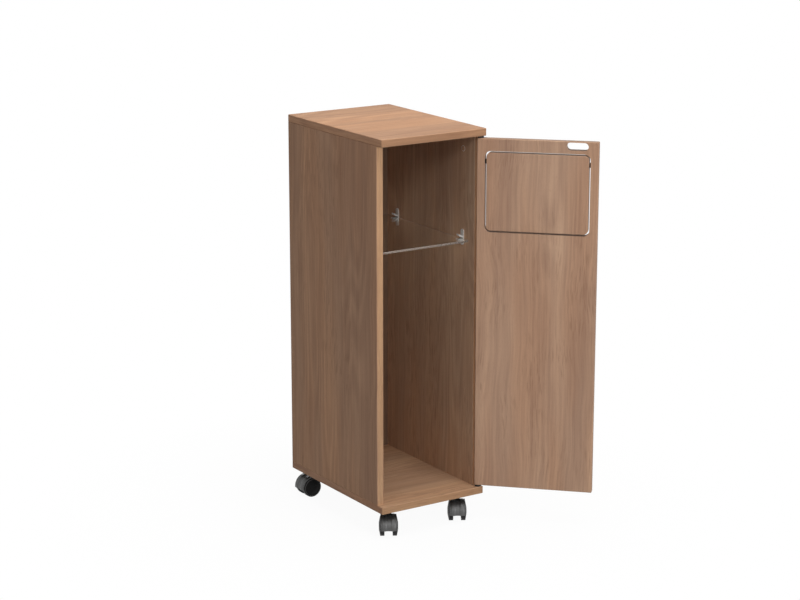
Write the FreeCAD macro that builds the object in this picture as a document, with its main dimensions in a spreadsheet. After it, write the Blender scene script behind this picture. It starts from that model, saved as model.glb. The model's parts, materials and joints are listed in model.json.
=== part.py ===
import FreeCAD, Part
import Sketcher
import math
import os

from FreeCAD import Placement, Rotation, Vector

# A narrow waste bin cabinet on four twin-wheel casters, with its door standing open.
# X runs to the right, Y to the back and Z up. The origin is on the floor, under the middle of the carcass.

# Driving sizes in millimetres and degrees
SIZES = {
    # carcass
    "cabinet_width": 242,
    "cabinet_depth": 350,
    "cabinet_height": 803,
    "board": 15,
    "edge_bevel": 1,
    "back_board": 3,
    "back_inset": 14,
    "groove_depth": 6,
    "groove_play": 0.2,
    # clearances
    "running_gap": 0.05,
    "seat_gap": 0.05,
    "end_gap": 0.3,
    # door and its pivots
    "door_board": 15,
    "door_back_gap": 3,
    "door_side_gap": 2,
    "door_end_gap": 4,
    "door_turn": 134.8,
    "pivot_inset": 6,
    "pivot_pin_radius": 3,
    "pivot_pin_grip": 20,
    "pivot_pin_reach": 9,
    "pivot_bush_radius": 5,
    "pivot_flange_radius": 6,
    # finger slot
    "slot_length": 43,
    "slot_height": 15.5,
    "slot_rail": 2,
    "slot_stile": 20,
    # swing flap and its pivots
    "flap_stile": 15.5,
    "flap_rail": 24.5,
    "flap_opening": 161.5,
    "flap_corner": 12,
    "flap_gap": 3,
    "flap_pivot_drop": 21.5,
    "flap_pin_radius": 2.5,
    "flap_pin_grip": 18,
    "flap_pin_reach": 8,
    "flap_bush_radius": 4,
    "flap_flange_radius": 5,
    # glass shelf and its supports
    "shelf_level": 502,
    "glass": 4,
    "glass_corner": 3,
    "glass_arris": 0.5,
    "shelf_front_inset": 14,
    "shelf_back_gap": 1,
    "support_width": 9.5,
    "support_height": 32,
    "support_drop": 10,
    "support_plate": 2.2,
    "ledge_length": 12,
    "ledge_thickness": 2.5,
    "tongue_reach": 11,
    "tongue_rise": 5.5,
    "tongue_thickness": 3.5,
    "tongue_width": 8,
    "peg_radius": 2.5,
    "peg_length": 8,
    # carcass fittings
    "fitting_inset": 39,
    "cam_radius": 6,
    "cam_length": 12,
    "cam_drop": 32,
    "cam_face": 3.4,
    "cam_slot": 7.6,
    "bolt_radius": 3.5,
    "bolt_thread_radius": 2.5,
    "bolt_thread_length": 11,
    "dowel_radius": 4,
    "dowel_length": 30,
    "dowel_in_top": 11,
    "dowel_pitch": 60,
    "base_screw_radius": 2.5,
    "base_screw_head_radius": 5,
    "base_screw_head": 3.5,
    "base_screw_length": 50,
    # casters
    "caster_height": 55,
    "caster_inset": 38.5,
    "rear_caster_inset": 30,
    "caster_trail": 17,
    "front_caster_turn": -31,
    "rear_left_turn": -90,
    "rear_right_turn": -60,
    "caster_plate_width": 38,
    "caster_plate_corner": 5,
    "caster_plate_board": 2,
    "caster_hole_pitch": 28,
    "caster_hole_radius": 2.2,
    "stem_radius": 4,
    "stem_length": 25,
    "collar_radius": 9,
    "collar_length": 2.5,
    "boss_radius": 6.5,
    "boss_flare_radius": 10,
    "boss_flare_height": 9,
    "boss_rim": 3,
    "boss_floor": 14,
    "hood_radius": 23,
    "hood_wall": 2.2,
    "hood_width": 31.5,
    "hood_bead": 0.6,
    "hood_bead_width": 1.4,
    "hood_channel": 7,
    "hood_lobe": 1.1,
    "hood_lobe_slope": 3,
    "hood_skirt": 3.5,
    "hood_wrap": 125,
    "web_thickness": 6,
    "hub_radius": 6,
    "hub_play": 0.4,
    "axle_radius": 2.5,
    "axle_length": 33,
    "wheel_radius": 20,
    "wheel_spacing": 16.8,
    "tread_width": 8.1,
    "wheel_dome": 2.5,
    "dome_flat": 8,
    "wheel_rim": 4,
    "wheel_disc": 4,
    "wheel_hub_radius": 6,
}


class Size:
    """A size that carries both its number and its formula on the sheet."""

    def __init__(self, number, text=None):
        self.number = float(number)
        self.text = text or repr(self.number)

    def __add__(self, other):
        other = as_size(other)
        return Size(self.number + other.number, f"({self.text} + {other.text})")

    def __sub__(self, other):
        other = as_size(other)
        return Size(self.number - other.number, f"({self.text} - {other.text})")

    def __mul__(self, factor):
        return Size(self.number * factor, f"({self.text} * {factor})")

    def __truediv__(self, divisor):
        return Size(self.number / divisor, f"({self.text} / {divisor})")

    def __neg__(self):
        return self * -1


def as_size(item):
    return item if isinstance(item, Size) else Size(item)


def bind(item, path, size):
    item.setExpression(path, as_size(size).text)


def fill_sheet():
    sheet = doc.addObject("Spreadsheet::Sheet", "Sizes")
    for row, (name, number) in enumerate(SIZES.items(), 1):
        sheet.set(f"A{row}", name)
        sheet.set(f"B{row}", str(number))
        sheet.setAlias(f"B{row}", name)
    doc.recompute()


class Sheet:
    """The sheet's sizes by name."""

    def __getattr__(self, name):
        return Size(SIZES[name], f"Sizes.{name}")


doc = FreeCAD.newDocument("waste_bin_cabinet")
fill_sheet()
S = Sheet()

# Places that several pieces share
half_width = S.cabinet_width / 2
half_depth = S.cabinet_depth / 2
base_top = S.caster_height + S.board
roof = S.cabinet_height - S.board
inside_width = S.cabinet_width - S.board * 2
inside_height = roof - base_top
side_front = S.door_board + S.door_back_gap - half_depth
side_depth = half_depth - side_front
back_face = half_depth - S.back_inset - S.back_board
inside_depth = back_face - side_front
fitting_places = [S.fitting_inset, inside_depth - S.fitting_inset]
dowel_places = [S.fitting_inset + S.dowel_pitch, inside_depth - S.fitting_inset - S.dowel_pitch]

# The door, its pins and the flap share a frame on the door's pivot line, drawn shut and turned open.
pivot_x = half_width - S.door_side_gap - S.pivot_inset
pivot_y = S.door_board / 2 - half_depth
door_bottom = base_top + S.door_end_gap
door_width = S.cabinet_width - S.door_side_gap * 2
door_height = inside_height - S.door_end_gap * 2
door_free_edge = S.pivot_inset - door_width
opening_free_side = door_free_edge + S.flap_stile
opening_hinge_side = S.pivot_inset - S.flap_stile
opening_top = door_height - S.flap_rail
opening_bottom = opening_top - S.flap_opening
flap_pivot = opening_top - S.flap_pivot_drop
pivot_bush_length = S.pivot_pin_reach + S.end_gap
flap_bush_length = S.flap_pin_reach + S.end_gap

# The shelf hangs between the support plates
shelf_height = base_top + S.shelf_level
peg_height = S.support_height / 2 - S.support_drop

PLANE_SIGN = {"XY_Plane": 1, "XZ_Plane": -1, "YZ_Plane": 1}
parts = []


def place(item, x, y, z, turn=0):
    item.Placement = Placement(Vector(), Rotation(Vector(0, 0, 1), 0))
    bind(item, "Placement.Base.x", x)
    bind(item, "Placement.Base.y", y)
    bind(item, "Placement.Base.z", z)
    bind(item, "Placement.Rotation.Angle", turn)


def new_part(label, x=0, y=0, z=0, turn=0):
    """An empty body that becomes one file of the assembly."""
    body = doc.addObject("PartDesign::Body", label)
    body.Label = label
    place(body, x, y, z, turn)
    parts.append(body)
    return body


class Profile:
    """A sketch parallel to one of its body's planes, whose dimensions follow the sheet."""

    def __init__(self, body, plane, level=0):
        self.body = body
        self.sketch = body.newObject("Sketcher::SketchObject", "profile")
        planes = {feature.Role: feature for feature in body.Origin.OriginFeatures}
        self.sketch.AttachmentSupport = (planes[plane], [""])
        self.sketch.MapMode = "FlatFace"
        bind(self.sketch, "AttachmentOffset.Base.z", as_size(level) * PLANE_SIGN[plane])

    def rule(self, kind, *references):
        self.sketch.addConstraint(Sketcher.Constraint(kind, *references))

    def dimension(self, kind, size, *references):
        size = as_size(size)
        index = self.sketch.addConstraint(Sketcher.Constraint(kind, *references, size.number))
        self.sketch.setExpression(f"Constraints[{index}]", size.text)

    def pin_point(self, geometry, end, x, y):
        """Hold one point of a curve at a place measured from the sketch's origin."""
        self.dimension("DistanceX", x, -1, 1, geometry, end)
        self.dimension("DistanceY", y, -1, 1, geometry, end)

    def line(self, start, end):
        points = [Vector(as_size(x).number, as_size(y).number, 0) for x, y in (start, end)]
        return self.sketch.addGeometry(Part.LineSegment(*points))

    def outline(self, corners):
        """A closed outline through corners that are each dimensioned."""
        count = len(corners)
        lines = [self.line(corners[i], corners[(i + 1) % count]) for i in range(count)]
        for i in range(count):
            self.rule("Coincident", lines[i], 2, lines[(i + 1) % count], 1)
        for line, (x, y) in zip(lines, corners):
            self.pin_point(line, 1, x, y)
        return self

    def rectangle(self, x, y, width, height):
        x = as_size(x)
        y = as_size(y)
        corners = [(x, y), (x + width, y), (x + width, y + height), (x, y + height)]
        lines = [self.line(corners[i], corners[(i + 1) % 4]) for i in range(4)]
        for i, direction in enumerate(("Horizontal", "Vertical", "Horizontal", "Vertical")):
            self.rule("Coincident", lines[i], 2, lines[(i + 1) % 4], 1)
            self.rule(direction, lines[i])
        self.pin_point(lines[0], 1, x, y)
        self.dimension("DistanceX", width, lines[0], 1, lines[0], 2)
        self.dimension("DistanceY", height, lines[1], 1, lines[1], 2)
        return self

    def circles(self, centres, radius):
        for x, y in centres:
            centre = Vector(as_size(x).number, as_size(y).number, 0)
            circle = self.sketch.addGeometry(Part.Circle(centre, Vector(0, 0, 1), as_size(radius).number))
            self.pin_point(circle, 3, x, y)
            self.dimension("Radius", radius, circle)
        return self

    def slot(self, x, y, width, height):
        """A straight slot with round ends, lying or standing, that fills a rectangle."""
        x = as_size(x)
        y = as_size(y)
        radius = (height if width.number > height.number else width) / 2
        lying = width.number > height.number
        ends = [(x + radius, y + radius), (x + width - radius, y + height - radius)]
        low, high = [Vector(a.number, b.number, 0) for a, b in ends]
        across = Vector(0, radius.number, 0) if lying else Vector(-radius.number, 0, 0)
        sides = [(low - across, high - across), (high + across, low + across)]
        lines = [self.sketch.addGeometry(Part.LineSegment(*side)) for side in sides]
        far_start = -math.pi / 2 if lying else 0
        arcs = []
        for centre, start in ((high, far_start), (low, far_start + math.pi)):
            circle = Part.Circle(centre, Vector(0, 0, 1), radius.number)
            arcs.append(self.sketch.addGeometry(Part.ArcOfCircle(circle, start, start + math.pi)))
        self.rule("Tangent", lines[0], 2, arcs[0], 1)
        self.rule("Tangent", arcs[0], 2, lines[1], 1)
        self.rule("Tangent", lines[1], 2, arcs[1], 1)
        self.rule("Tangent", arcs[1], 2, lines[0], 1)
        self.pin_point(arcs[1], 3, *ends[0])
        self.pin_point(arcs[0], 3, *ends[1])
        for arc in arcs:
            self.dimension("Radius", radius, arc)
        return self

    def pad(self, length, backward=False):
        pad = self.body.newObject("PartDesign::Pad", "pad")
        pad.Profile = self.sketch
        pad.Reversed = backward
        bind(pad, "Length", length)
        doc.recompute()
        return pad

    def pocket(self, depth, forward=False):
        """Cut to a depth, against the sketch's normal unless it is told to go forward."""
        before = self.body.Shape.Volume
        cut = self.body.newObject("PartDesign::Pocket", "cut")
        cut.Profile = self.sketch
        cut.Reversed = forward
        bind(cut, "Length", depth)
        doc.recompute()
        if self.body.Shape.Volume >= before:
            raise RuntimeError(f"a pocket of {self.body.Label} removes nothing")
        return cut

    def revolve(self, axis_line, angle=360, backward=False):
        """Turn the outline about a construction line of the same sketch."""
        turned = self.body.newObject("PartDesign::Revolution", "turned")
        turned.Profile = self.sketch
        turned.ReferenceAxis = (self.sketch, [axis_line])
        turned.Reversed = backward
        bind(turned, "Angle", angle)
        doc.recompute()
        return turned

    def axis(self, start, end):
        """A construction line, dimensioned at both ends, that a revolution can use."""
        line = self.line(start, end)
        self.sketch.toggleConstruction(line)
        self.pin_point(line, 1, *start)
        self.pin_point(line, 2, *end)
        return line


def dress_edges(body, kind, size, wanted):
    """Round or break the edges of the body's last feature that pass a test."""
    base = body.Tip
    names = [f"Edge{i}" for i, edge in enumerate(base.Shape.Edges, 1) if wanted(edge)]
    dressing = body.newObject(kind, "dressed")
    dressing.Base = (base, names)
    bind(dressing, "Radius" if kind.endswith("Fillet") else "Size", size)
    doc.recompute()
    return dressing


def round_edges(body, size, wanted):
    return dress_edges(body, "PartDesign::Fillet", size, wanted)


def bevel_edges(body, size, wanted=lambda edge: True):
    return dress_edges(body, "PartDesign::Chamfer", size, wanted)


def is_upright(edge):
    box = edge.BoundBox
    return box.XLength < 1e-6 and box.YLength < 1e-6


def both_sides(places, x):
    """The same places on the left and on the right, x from the middle."""
    return [(side, y) for side in (-x, x) for y in places]


# Carcass boards

def panel_plan(body):
    Profile(body, "XY_Plane").rectangle(0, 0, S.cabinet_width, S.cabinet_depth).pad(S.board)
    bevel_edges(body, S.edge_bevel)


def back_groove(body, level, forward):
    groove = Profile(body, "XY_Plane", level)
    groove.rectangle(
        S.board - S.groove_depth,
        back_face + half_depth - S.groove_play,
        inside_width + S.groove_depth * 2,
        S.back_board + S.groove_play * 2,
    )
    groove.pocket(S.groove_depth, forward)


def over_sides(places):
    """Places above the middle of both side panels, in a full-width panel's own frame."""
    middle = S.board / 2
    shift = side_front + half_depth
    return [(x, shift + y) for x in (middle, S.cabinet_width - middle) for y in places]


def pivot_place():
    return [(pivot_x + half_width, pivot_y + half_depth)]


def make_top_panel():
    body = new_part("top_panel", -half_width, -half_depth, roof)
    panel_plan(body)
    back_groove(body, 0, True)
    bolts = Profile(body, "XY_Plane").circles(over_sides(fitting_places), S.bolt_thread_radius + S.seat_gap)
    bolts.pocket(S.bolt_thread_length + S.end_gap, True)
    dowels = Profile(body, "XY_Plane").circles(over_sides(dowel_places), S.dowel_radius + S.seat_gap)
    dowels.pocket(S.dowel_in_top + S.end_gap, True)
    bush = Profile(body, "XY_Plane").circles(pivot_place(), S.pivot_bush_radius + S.seat_gap)
    bush.pocket(pivot_bush_length + S.end_gap, True)


def make_bottom_panel():
    body = new_part("bottom_panel", -half_width, -half_depth, S.caster_height)
    panel_plan(body)
    back_groove(body, S.board, False)
    bush = Profile(body, "XY_Plane", S.board).circles(pivot_place(), S.pivot_bush_radius + S.seat_gap)
    bush.pocket(pivot_bush_length + S.end_gap)
    screws = over_sides(fitting_places)
    shanks = Profile(body, "XY_Plane").circles(screws, S.base_screw_radius + S.seat_gap)
    shanks.pocket(S.board, True)
    heads = Profile(body, "XY_Plane").circles(screws, S.base_screw_head_radius + S.seat_gap)
    heads.pocket(S.base_screw_head, True)


def make_side_panel(label, left):
    body = new_part(label, -half_width if left else half_width - S.board, side_front, base_top)
    Profile(body, "XY_Plane").rectangle(0, 0, S.board, side_depth).pad(inside_height)
    bevel_edges(body, S.edge_bevel, is_upright)
    inner_face = S.board if left else 0
    groove_start = S.board - S.groove_depth if left else 0
    groove = Profile(body, "XY_Plane")
    groove.rectangle(
        groove_start, inside_depth - S.groove_play, S.groove_depth, S.back_board + S.groove_play * 2
    )
    groove.pocket(inside_height, True)
    cam_centres = [(y, inside_height - S.cam_drop) for y in fitting_places]
    cams = Profile(body, "YZ_Plane", inner_face).circles(cam_centres, S.cam_radius + S.seat_gap)
    cams.pocket(S.cam_length + S.end_gap, not left)
    peg_centres = [(y, S.shelf_level + peg_height) for y in fitting_places]
    pegs = Profile(body, "YZ_Plane", inner_face).circles(peg_centres, S.peg_radius + S.seat_gap)
    pegs.pocket(S.peg_length + S.end_gap, not left)
    bolt_centres = [(S.board / 2, y) for y in fitting_places]
    bolts = Profile(body, "XY_Plane", inside_height).circles(bolt_centres, S.bolt_radius + S.end_gap)
    bolts.pocket(S.cam_drop)
    dowel_centres = [(S.board / 2, y) for y in dowel_places]
    dowels = Profile(body, "XY_Plane", inside_height).circles(dowel_centres, S.dowel_radius + S.seat_gap)
    dowels.pocket(S.dowel_length - S.dowel_in_top + S.end_gap)
    screws = Profile(body, "XY_Plane").circles(bolt_centres, S.base_screw_radius + S.seat_gap)
    screws.pocket(S.base_screw_length - S.board + S.end_gap, True)


def make_back_panel():
    reach = S.groove_depth - S.end_gap
    body = new_part("back_panel", -inside_width / 2 - reach, back_face, base_top - reach)
    sheet = Profile(body, "XY_Plane").rectangle(0, 0, inside_width + reach * 2, S.back_board)
    sheet.pad(inside_height + reach * 2)


# Carcass fittings

def stack_pads(body, plane, centres, steps):
    """Coaxial round steps, each a level, a radius and a length."""
    for level, radius, length in steps:
        Profile(body, plane, level).circles(centres, radius).pad(length)


def make_cam_locks():
    body = new_part("cam_locks", 0, side_front, roof - S.cam_drop)
    centres = [(y, 0) for y in fitting_places]
    slots = [(y - S.cam_slot / 2, S.cam_slot) for y in fitting_places]
    wall = inside_width / 2
    for level, backward in ((-wall, True), (wall, False)):
        Profile(body, "YZ_Plane", level).circles(centres, S.cam_radius).pad(S.cam_length, backward)
        far = level - S.cam_length if backward else level + S.cam_length
        for start, width in slots:
            mouth = Profile(body, "YZ_Plane", far)
            mouth.rectangle(start, -S.cam_slot / 2, width, S.cam_slot / 2 + S.cam_radius)
            mouth.pocket(S.cam_length - S.cam_face, backward)


def make_cam_bolts():
    body = new_part("cam_bolts", 0, side_front, roof)
    centres = both_sides(fitting_places, half_width - S.board / 2)
    stack_pads(body, "XY_Plane", centres, [
        (-S.cam_drop, S.bolt_radius, S.cam_drop),
        (0, S.bolt_thread_radius, S.bolt_thread_length),
    ])


def make_dowels():
    body = new_part("wood_dowels", 0, side_front, roof)
    centres = both_sides(dowel_places, half_width - S.board / 2)
    bottom = S.dowel_in_top - S.dowel_length
    stack_pads(body, "XY_Plane", centres, [(bottom, S.dowel_radius, S.dowel_length)])


def make_base_screws():
    body = new_part("base_screws", 0, side_front, S.caster_height)
    centres = both_sides(fitting_places, half_width - S.board / 2)
    stack_pads(body, "XY_Plane", centres, [
        (0, S.base_screw_head_radius, S.base_screw_head),
        (S.base_screw_head, S.base_screw_radius, S.base_screw_length - S.base_screw_head),
    ])


# Glass shelf and its supports

def make_glass_shelf():
    width = inside_width - (S.support_plate + S.end_gap) * 2
    depth = inside_depth - S.shelf_front_inset - S.shelf_back_gap
    body = new_part("glass_shelf", -width / 2, side_front + S.shelf_front_inset, shelf_height)
    Profile(body, "XY_Plane").rectangle(0, 0, width, depth).pad(S.glass)
    round_edges(body, S.glass_corner, is_upright)
    bevel_edges(body, S.glass_arris, lambda edge: not is_upright(edge))


def make_shelf_support(label, left, y):
    """A clip with its plate on the wall, a ledge under the glass and a raised tongue above it."""
    wall = -inside_width / 2 if left else inside_width / 2
    body = new_part(label, wall, side_front + y, shelf_height, 0 if left else 180)
    plate = Profile(body, "YZ_Plane")
    plate.slot(-S.support_width / 2, -S.support_drop, S.support_width, S.support_height)
    plate.pad(S.support_plate)
    ledge = Profile(body, "YZ_Plane", S.support_plate)
    ledge.rectangle(-S.support_width / 2, -S.ledge_thickness, S.support_width, S.ledge_thickness)
    ledge.pad(S.ledge_length)
    root = S.support_plate / 2
    low = S.glass + S.end_gap
    tongue = Profile(body, "XZ_Plane", -S.tongue_width / 2)
    tongue.outline([
        (root, low),
        (root + S.tongue_reach, low + S.tongue_rise),
        (root + S.tongue_reach, low + S.tongue_rise + S.tongue_thickness),
        (root, low + S.tongue_thickness),
    ])
    tongue.pad(S.tongue_width, True)
    Profile(body, "YZ_Plane").circles([(0, peg_height)], S.peg_radius).pad(S.peg_length, True)


# Door, swing flap and their pivots

def door_part(label):
    return new_part(label, pivot_x, pivot_y, door_bottom, S.door_turn)


def runs_through_door(edge):
    return edge.BoundBox.YLength > S.door_board.number / 2


def make_door_panel():
    body = door_part("door_panel")
    front = -S.door_board / 2
    board = Profile(body, "XZ_Plane", front).rectangle(door_free_edge, 0, door_width, door_height)
    board.pad(S.door_board, True)
    bevel_edges(body, S.edge_bevel)
    opening_width = opening_hinge_side - opening_free_side
    opening = Profile(body, "XZ_Plane", front)
    opening.rectangle(opening_free_side, opening_bottom, opening_width, S.flap_opening)
    opening.pocket(S.door_board)
    middle = (door_free_edge + door_width / 2).number
    inner_reach = ((door_width - S.flap_stile) / 2).number

    def is_opening_corner(edge):
        return runs_through_door(edge) and abs(edge.CenterOfMass.x - middle) < inner_reach

    round_edges(body, S.flap_corner, is_opening_corner)
    slot_left = door_free_edge + S.slot_stile
    slot_bottom = door_height - S.slot_rail - S.slot_height
    slot = Profile(body, "XZ_Plane", front).slot(slot_left, slot_bottom, S.slot_length, S.slot_height)
    slot.pocket(S.door_board)
    for level, forward in ((0, True), (door_height, False)):
        pins = Profile(body, "XY_Plane", level).circles([(0, 0)], S.pivot_pin_radius + S.seat_gap)
        pins.pocket(S.pivot_pin_grip + S.end_gap, forward)
    for level, forward in ((opening_hinge_side, True), (opening_free_side, False)):
        bush = Profile(body, "YZ_Plane", level).circles([(0, flap_pivot)], S.flap_bush_radius + S.seat_gap)
        bush.pocket(flap_bush_length + S.end_gap, forward)


def make_pivot_pins():
    length = S.pivot_pin_grip + S.door_end_gap + S.pivot_pin_reach
    lower = door_part("lower_pivot_pin")
    low_end = -S.door_end_gap - S.pivot_pin_reach
    stack_pads(lower, "XY_Plane", [(0, 0)], [(low_end, S.pivot_pin_radius, length)])
    upper = door_part("upper_pivot_pin")
    stack_pads(upper, "XY_Plane", [(0, 0)], [(door_height - S.pivot_pin_grip, S.pivot_pin_radius, length)])


def make_pivot_bush(label, face, upward):
    """A flanged bush let into a panel, with its flange in the gap at the door's end."""
    body = new_part(label, pivot_x, pivot_y, face)
    flange = Profile(body, "XY_Plane").circles([(0, 0)], S.pivot_flange_radius)
    flange.pad(S.door_end_gap - S.end_gap, upward)
    sleeve = Profile(body, "XY_Plane").circles([(0, 0)], S.pivot_bush_radius)
    sleeve.pad(pivot_bush_length, not upward)
    far_end = pivot_bush_length if upward else -pivot_bush_length
    bore = Profile(body, "XY_Plane", far_end).circles([(0, 0)], S.pivot_pin_radius + S.running_gap)
    bore.pocket(pivot_bush_length + S.door_end_gap, not upward)


def make_flap_panel():
    body = door_part("flap_panel")
    left = opening_free_side + S.flap_gap
    bottom = opening_bottom + S.flap_gap
    width = opening_hinge_side - opening_free_side - S.flap_gap * 2
    height = S.flap_opening - S.flap_gap * 2
    front = -S.door_board / 2
    Profile(body, "XZ_Plane", front).rectangle(left, bottom, width, height).pad(S.door_board, True)
    round_edges(body, S.flap_corner - S.flap_gap, runs_through_door)
    bevel_edges(body, S.edge_bevel, lambda edge: not runs_through_door(edge))
    for level, forward in ((left, True), (left + width, False)):
        pins = Profile(body, "YZ_Plane", level).circles([(0, flap_pivot)], S.flap_pin_radius + S.seat_gap)
        pins.pocket(S.flap_pin_grip + S.end_gap, forward)


def make_flap_pivot(side, wall, outward):
    """A pin in the flap's edge and the flanged bush in the door that it turns in."""
    sign = 1 if outward else -1
    centre = [(0, flap_pivot)]
    bush = door_part(f"flap_bush_{side}")
    sleeve = Profile(bush, "YZ_Plane", wall).circles(centre, S.flap_bush_radius)
    sleeve.pad(flap_bush_length, not outward)
    flange = Profile(bush, "YZ_Plane", wall).circles(centre, S.flap_flange_radius)
    flange.pad(S.flap_gap - S.end_gap, outward)
    far_end = wall + flap_bush_length * sign
    bore = Profile(bush, "YZ_Plane", far_end).circles(centre, S.flap_pin_radius + S.running_gap)
    bore.pocket(flap_bush_length + S.flap_gap, not outward)
    pin = door_part(f"flap_pin_{side}")
    inner_end = wall - (S.flap_gap + S.flap_pin_grip) * sign
    shank = Profile(pin, "YZ_Plane", inner_end).circles(centre, S.flap_pin_radius)
    shank.pad(S.flap_gap + S.flap_pin_grip + S.flap_pin_reach, not outward)


# Casters

caster_x = half_width - S.caster_inset
caster_front = S.caster_inset - half_depth
caster_rear = half_depth - S.rear_caster_inset
CASTERS = {
    "front_left": (-caster_x, caster_front, S.front_caster_turn),
    "front_right": (caster_x, caster_front, S.front_caster_turn),
    "rear_left": (-caster_x, caster_rear, S.rear_left_turn),
    "rear_right": (caster_x, caster_rear, S.rear_right_turn),
}
plate_bottom = S.caster_height - S.caster_plate_board
boss_top = plate_bottom - S.collar_length - S.end_gap


def plate_hole_places():
    reach = S.caster_hole_pitch / 2
    return [(x, y) for x in (-reach, reach) for y in (-reach, reach)]


def make_caster_plate(corner):
    """The square plate with the swivel stem and its collar riveted in."""
    x, y, _ = CASTERS[corner]
    body = new_part(f"caster_plate_{corner}", x, y, plate_bottom)
    half = S.caster_plate_width / 2
    Profile(body, "XY_Plane").rectangle(-half, -half, half * 2, half * 2).pad(S.caster_plate_board)
    round_edges(body, S.caster_plate_corner, is_upright)
    holes = Profile(body, "XY_Plane").circles(plate_hole_places(), S.caster_hole_radius)
    holes.pocket(S.caster_plate_board, True)
    Profile(body, "XY_Plane").circles([(0, 0)], S.collar_radius).pad(S.collar_length, True)
    Profile(body, "XY_Plane").circles([(0, 0)], S.stem_radius).pad(S.collar_length + S.stem_length, True)


def make_caster_hood(corner):
    """The moulded yoke: a beaded hood with two lobes, a web between the wheels and the swivel boss."""
    x, y, turn = CASTERS[corner]
    body = new_part(f"caster_hood_{corner}", x, y, 0, turn)
    half = S.hood_width / 2
    lobe_edge = half - S.hood_bead_width
    channel = S.hood_channel / 2
    axle_y = -S.caster_trail
    rim = axle_y - S.hood_radius
    bead = rim - S.hood_bead
    lobe = rim - S.hood_lobe
    right_half = [
        (channel, rim),
        (channel + S.hood_lobe_slope, lobe),
        (lobe_edge - S.hood_lobe_slope, lobe),
        (lobe_edge, rim),
        (lobe_edge, bead),
        (half, bead),
        (half, rim + S.hood_wall),
    ]
    left_half = [(-across, out) for across, out in reversed(right_half)]
    shell = Profile(body, "XY_Plane", S.wheel_radius)
    shell.outline(left_half + right_half)
    shell.axis((-half, axle_y), (half, axle_y))
    shell.revolve("Axis0", S.hood_wrap, True)
    shell.pad(S.hood_skirt, True)
    boss = Profile(body, "XZ_Plane")
    boss.outline([
        (0, S.boss_floor),
        (S.boss_radius, S.boss_floor),
        (S.boss_radius, boss_top - S.boss_flare_height),
        (S.boss_flare_radius, boss_top - S.boss_rim),
        (S.boss_flare_radius, boss_top),
        (0, boss_top),
    ])
    boss.axis((0, 0), (0, boss_top))
    boss.revolve("Axis0")
    web = Profile(body, "YZ_Plane", -S.web_thickness / 2)
    web_top = S.wheel_radius + S.hood_radius - S.hood_wall / 2
    web.outline([
        (axle_y - S.hub_radius, S.wheel_radius),
        (axle_y, S.wheel_radius - S.hub_radius),
        (0, S.boss_floor),
        (0, web_top),
        (axle_y, web_top),
    ])
    web.pad(S.web_thickness)
    hub_half = S.wheel_spacing / 2 - S.hub_play
    axle_place = [(axle_y, S.wheel_radius)]
    hub = Profile(body, "YZ_Plane", -hub_half).circles(axle_place, S.hub_radius)
    hub.pad(hub_half * 2)
    stem = Profile(body, "XY_Plane", boss_top).circles([(0, 0)], S.stem_radius + S.running_gap)
    stem.pocket(S.stem_length)
    axle = Profile(body, "YZ_Plane", -hub_half).circles(axle_place, S.axle_radius + S.seat_gap)
    axle.pocket(hub_half * 2, True)


def make_caster_axle(corner):
    x, y, turn = CASTERS[corner]
    body = new_part(f"caster_axle_{corner}", x, y, 0, turn)
    rod = Profile(body, "YZ_Plane", -S.axle_length / 2)
    rod.circles([(-S.caster_trail, S.wheel_radius)], S.axle_radius)
    rod.pad(S.axle_length)


def make_caster_wheel(corner, side, half_turn):
    """A cupped wheel with a plain tread and a domed outer face that hides the axle's end."""
    x, y, turn = CASTERS[corner]
    body = new_part(f"wheel_{corner}_{side}", x, y, 0, turn + half_turn)
    axle_y = S.caster_trail if half_turn else -S.caster_trail
    bore = S.axle_radius + S.running_gap
    inner = S.wheel_spacing / 2
    outer = inner + S.tread_width
    crown = outer + S.wheel_dome
    blind = S.axle_length / 2 + S.end_gap
    section = [
        (inner, bore),
        (inner, S.wheel_hub_radius),
        (outer - S.wheel_disc, S.wheel_hub_radius),
        (outer - S.wheel_disc, S.wheel_radius - S.wheel_rim),
        (inner, S.wheel_radius - S.wheel_rim),
        (inner, S.wheel_radius),
        (outer, S.wheel_radius),
        (crown, S.dome_flat),
        (crown, 0),
        (blind, 0),
        (blind, bore),
    ]
    profile = Profile(body, "XY_Plane", S.wheel_radius)
    profile.outline([(across, axle_y - radius) for across, radius in section])
    profile.axis((0, axle_y), (crown, axle_y))
    profile.revolve("Axis0")


def make_caster(corner):
    make_caster_plate(corner)
    make_caster_hood(corner)
    make_caster_axle(corner)
    make_caster_wheel(corner, "left", 180)
    make_caster_wheel(corner, "right", 0)


def check_model():
    for item in doc.Objects:
        if "Invalid" in item.State or "Error" in item.State:
            raise RuntimeError(f"{item.Label} did not build: {item.State}")
    for body in parts:
        if body.Shape.isNull() or not body.Shape.isValid():
            raise RuntimeError(f"{body.Label} has no valid solid")


def write_parts():
    os.makedirs("parts", exist_ok=True)
    for body in parts:
        body.Shape.exportStep(f"parts/{body.Label}.step")
        print(f"{body.Label}: {len(body.Shape.Solids)} solids, {body.Shape.Volume / 1000:.2f} cm3")


make_top_panel()
make_bottom_panel()
make_side_panel("left_side_panel", True)
make_side_panel("right_side_panel", False)
make_back_panel()
make_cam_locks()
make_cam_bolts()
make_dowels()
make_base_screws()
make_glass_shelf()
for depth_name, depth_place in zip(("front", "rear"), fitting_places):
    make_shelf_support(f"shelf_support_{depth_name}_left", True, depth_place)
    make_shelf_support(f"shelf_support_{depth_name}_right", False, depth_place)
make_pivot_bush("upper_pivot_bush", roof, True)
make_pivot_bush("lower_pivot_bush", base_top, False)
make_door_panel()
make_pivot_pins()
make_flap_panel()
make_flap_pivot("hinge_side", opening_hinge_side, True)
make_flap_pivot("free_side", opening_free_side, False)
for corner_name in CASTERS:
    make_caster(corner_name)

doc.recompute()
check_model()
write_parts()
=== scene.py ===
import json
import math

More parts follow.
